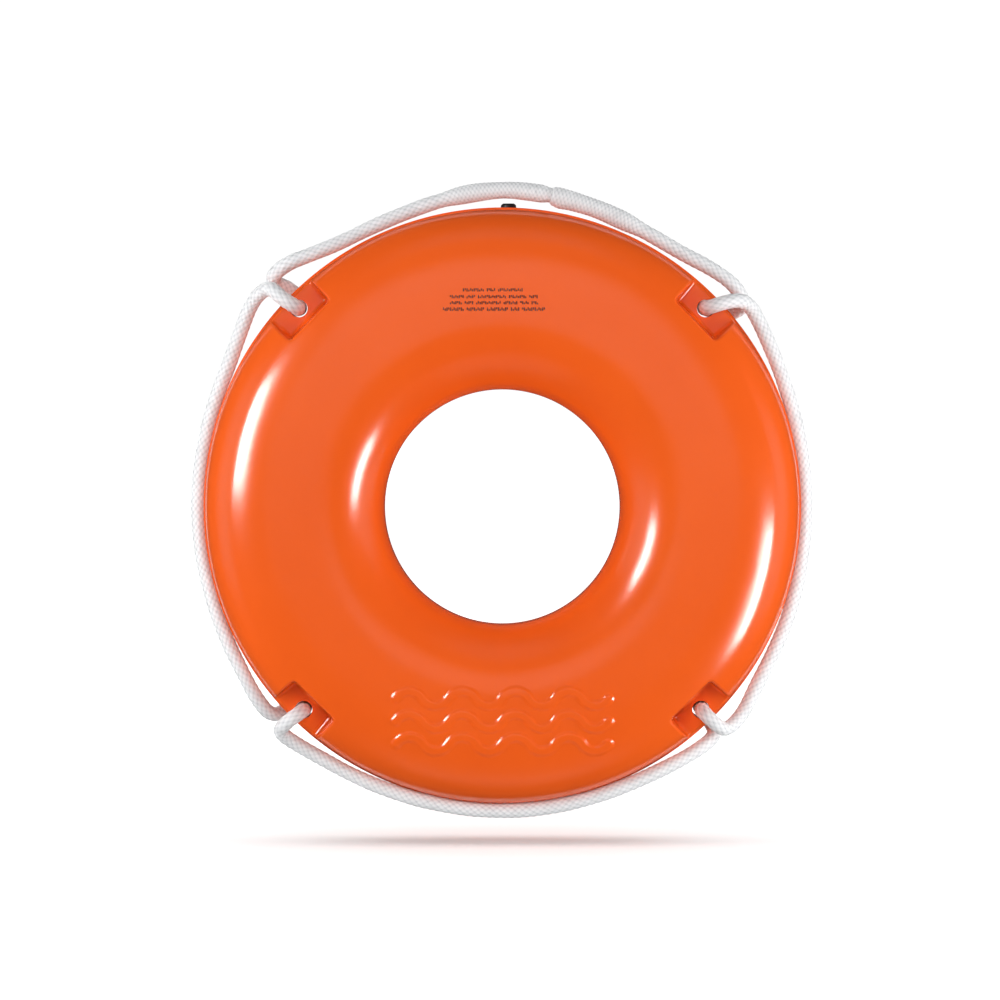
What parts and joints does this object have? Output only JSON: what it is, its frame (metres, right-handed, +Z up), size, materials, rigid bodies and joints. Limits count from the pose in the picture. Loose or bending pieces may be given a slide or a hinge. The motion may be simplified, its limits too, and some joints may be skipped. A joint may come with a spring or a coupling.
{
  "type": "ring lifebuoy",
  "caption": "Moulded ring lifebuoy with a foam core and a grab line threaded through pockets round its rim, held by a centre hole on a post or bracket",
  "frame": {"origin": "centre of the ring, on the axis of the centre hole and in its middle plane", "axes": "+Y along the ring's axis towards its back, +Z up as it hangs, +X to the right seen from the front"},
  "size_m": [0.5209, 0.1012, 0.5314],
  "materials": {
    "shell": "smooth rotationally moulded polyethylene, semi gloss",
    "foam": "rigid polyurethane foam with a closed skin",
    "plug": "satin moulded",
    "line": "braided polypropylene rope"
  },
  "bodies": {
    "root": {"ring_shell": "shell", "foam_core": "foam", "fill_plug": "plug", "grab_line": "line", "line_splice": "line"}
  },
  "joints": []
}
